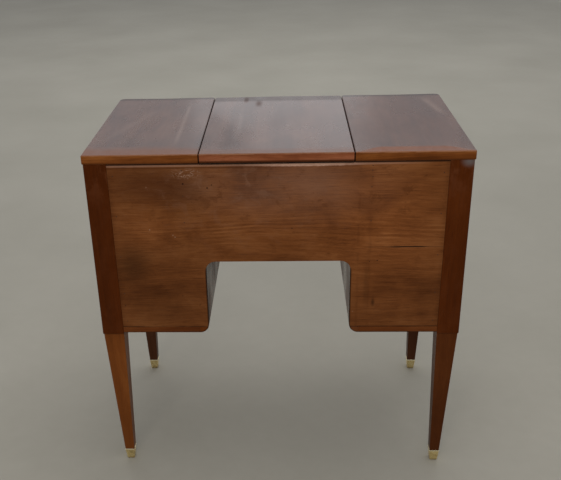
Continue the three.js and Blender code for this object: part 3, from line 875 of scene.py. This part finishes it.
def knob(word):
    node = f"drawer_{word}_knob"
    low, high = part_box(node)
    face = high[1]
    centre = Vector(((low[0] + high[0]) / 2, face, (low[2] + high[2]) / 2))
    profile = [(8.6, -0.4), (8.9, 0.3), (8.6, 1.0), (7.4, 1.5), (5.6, 1.8), (4.8, 2.6),
               (4.3, 5.0), (4.2, 8.0), (4.6, 10.4), (5.8, 12.2), (7.8, 13.6), (9.6, 15.2),
               (10.7, 17.0), (11.0, 18.6), (10.6, 20.2), (9.4, 21.6), (7.2, 22.6), (4.4, 23.15),
               (1.6, 23.3), (0.3, 23.3)]
    bm = bmesh.new()
    turned(bm, profile, centre, Matrix.Rotation(math.pi / 2, 3, "X"), 48)
    obj = piece(f"{node}_turned", bm, KNOB_BRASS, f"drawer_{word}")
    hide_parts(node)


for word in ("left", "right", "middle"):
    knob(word)


# ---- hinges and their screws -------------------------------------------
def screw(bm, centre, up, slot_turn):
    """A countersunk slotted head, a hair proud of the leaf."""
    flip = Matrix.Identity(3) if up > 0 else Matrix.Rotation(math.pi, 3, "X")
    at = Vector(centre)
    turned(bm, [(2.3, -0.3), (2.3, 0.02), (2.1, 0.1), (0.4, 0.13)], at, flip, 16)
    dark = Matrix.Rotation(slot_turn, 3, "Z")
    corners = [dark @ Vector((sx * 1.9 * MM, sy * 0.3 * MM, 0.0)) for sx, sy in
               ((-1, -1), (1, -1), (1, 1), (-1, 1))]
    lower = [bm.verts.new(at + c + Vector((0, 0, up * 0.10 * MM))) for c in corners]
    upper = [bm.verts.new(at + c + Vector((0, 0, up * 0.145 * MM))) for c in corners]
    bm.faces.new(lower)
    bm.faces.new(upper)
    bridge(bm, lower, upper)
    bmesh.ops.recalc_face_normals(bm, faces=bm.faces)


HINGE_BARREL = 1.4 * MM
LEAF_GAP = 0.15 * MM
hinges = [f"hinge_{side}_{end}" for side in ("left", "right") for end in ("front", "back")]
for name in hinges + ["hinge_middle"]:
    for leaf, up in (("lid_leaf", -1), ("case_leaf", 1)):
        node = f"{name}_{leaf}"
        eased(node, HINGE_DARK if name == "hinge_middle" else HINGE_BRASS, 0.15 * MM, 1, 40.0)
        low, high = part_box(node)
        # the leaf's inner face: the lid's leaf shows its lower face, the case's its upper face
        axis_z = high[2] - HINGE_BARREL if up < 0 else low[2] + HINGE_BARREL
        z = axis_z - up * LEAF_GAP
        bm = bmesh.new()
        count = 3 if name != "hinge_middle" else 9
        for i in range(count):
            t = (i + 0.5) / count
            if name == "hinge_middle":
                at = (low[0] + (high[0] - low[0]) * t, low[1] + 5.2 * MM, z)
            else:
                inward = low[0] + 6 * MM if "right" in name else high[0] - 6 * MM
                at = (inward, low[1] + (high[1] - low[1]) * t, z)
            screw(bm, at, up, 0.7 + 1.3 * i)
        piece(f"{node}_screws", bm, SCREW_BRASS, BODY_OF[node])


# ---- nails of the back panel -------------------------------------------
def back_nails():
    s = Shader("nail_iron")
    rust = s.noise(s.place, scale=300.0, detail=3.0)
    s.set(Base_Color=s.ramp(rust, [(0.3, (0.020, 0.012, 0.008)), (0.7, (0.075, 0.042, 0.028))]))
    s.set(Metallic=0.6, Roughness=s.spread(rust, 0.3, 0.7, 0.45, 0.7))
    bm = bmesh.new()
    # two rows into the partitions, then one by each post
    spots = [(-0.1955, 0.762), (-0.1950, 0.752), (-0.1962, 0.738), (-0.1948, 0.716),
             (-0.1957, 0.640)]
    spots += [(0.1955, 0.756), (0.1950, 0.700), (0.1960, 0.640)]
    spots += [(side * 0.339, z) for side in (-1, 1) for z in (0.745, 0.655, 0.560, 0.470, 0.400)]
    lay = Matrix.Rotation(-math.pi / 2, 3, "X")
    head = [(1.1, -0.5), (1.1, 0.03), (0.8, 0.12), (0.2, 0.15)]
    for x, z in spots:
        turned(bm, head, Vector((x, PANEL_HIGH[1], z)), lay, 10)
    piece("back_nails", bm, s.material, "case")


back_nails()


# ---- floor, light and camera -------------------------------------------
def floor():
    bm = bmesh.new()
    reach = 9.0
    corners = [(-reach, -reach), (reach, -reach), (reach, reach), (-reach, reach)]
    # a hair below the shoes, so that the two never share a plane
    bm.faces.new([bm.verts.new((x, y, -0.2 * MM)) for x, y in corners])
    mesh = bpy.data.meshes.new("floor")
    bm.to_mesh(mesh)
    bm.free()
    mesh.materials.append(floor_material())
    obj = bpy.data.objects.new("floor", mesh)
    bpy.context.scene.collection.objects.link(obj)


def area_light(name, at, aim, size, watts, color, mirrored=True):
    """A soft rectangular light. One that isn't mirrored never shows in glass or polish."""
    data = bpy.data.lights.new(name, "AREA")
    data.shape = "RECTANGLE"
    data.size, data.size_y = size
    data.energy = watts
    data.color = color
    obj = bpy.data.objects.new(name, data)
    obj.visible_camera = False
    obj.visible_glossy = mirrored
    obj.location = at
    obj.rotation_euler = (Vector(aim) - Vector(at)).to_track_quat("-Z", "Y").to_euler()
    bpy.context.scene.collection.objects.link(obj)


def world():
    w = bpy.data.worlds.new("studio")
    bpy.context.scene.world = w
    w.use_nodes = True
    background = w.node_tree.nodes["Background"]
    background.inputs["Color"].default_value = (0.86, 0.88, 0.92, 1.0)
    background.inputs["Strength"].default_value = 0.62


# behind the table and above it, all angles in degrees
CAMERA_AT = (-0.0233, 1.7664, 1.3111)
CAMERA_HEADING = 180 + 3.321
CAMERA_BELOW_LEVEL = 24.843
CAMERA_ROLL = -1.866
CAMERA_LENS = 51.26
CAMERA_SHIFT = 0.0608


def camera():
    data = bpy.data.cameras.new("camera")
    data.sensor_width = 36.0
    data.lens = CAMERA_LENS
    data.shift_x = CAMERA_SHIFT
    obj = bpy.data.objects.new("camera", data)
    heading = Matrix.Rotation(math.radians(CAMERA_HEADING), 3, "Z")
    tilt = Matrix.Rotation(math.radians(90 - CAMERA_BELOW_LEVEL), 3, "X")
    roll = Matrix.Rotation(math.radians(CAMERA_ROLL), 3, "Z")
    turn = (heading @ tilt @ roll).to_4x4()
    obj.matrix_world = Matrix.Translation(CAMERA_AT) @ turn
    bpy.context.scene.collection.objects.link(obj)
    bpy.context.scene.camera = obj


floor()
world()
WARM = (1.0, 0.97, 0.93)
COOL = (0.96, 0.98, 1.0)
NEUTRAL = (0.98, 0.99, 1.0)
area_light("front_soft", (0.3, 3.1, 2.1), (0.0, 0.2, 0.40), (2.0, 1.4), 42.0, WARM, False)
area_light("far_soft", (0.03, -3.6, 1.80), (0.0, 0.0, 0.8), (1.2, 0.8), 1.7, COOL)
area_light("far_ceiling", (0.0, -3.9, 3.2), (0.0, -4.1, 0.0), (5.0, 2.4), 60.0, COOL)
area_light("ceiling_soft", (-0.4, -0.4, 3.4), (0.0, 0.0, 0.5), (3.0, 2.4), 34.0, NEUTRAL)
camera()
bpy.context.scene.view_settings.view_transform = "Standard"
bpy.context.scene.view_settings.look = "None"
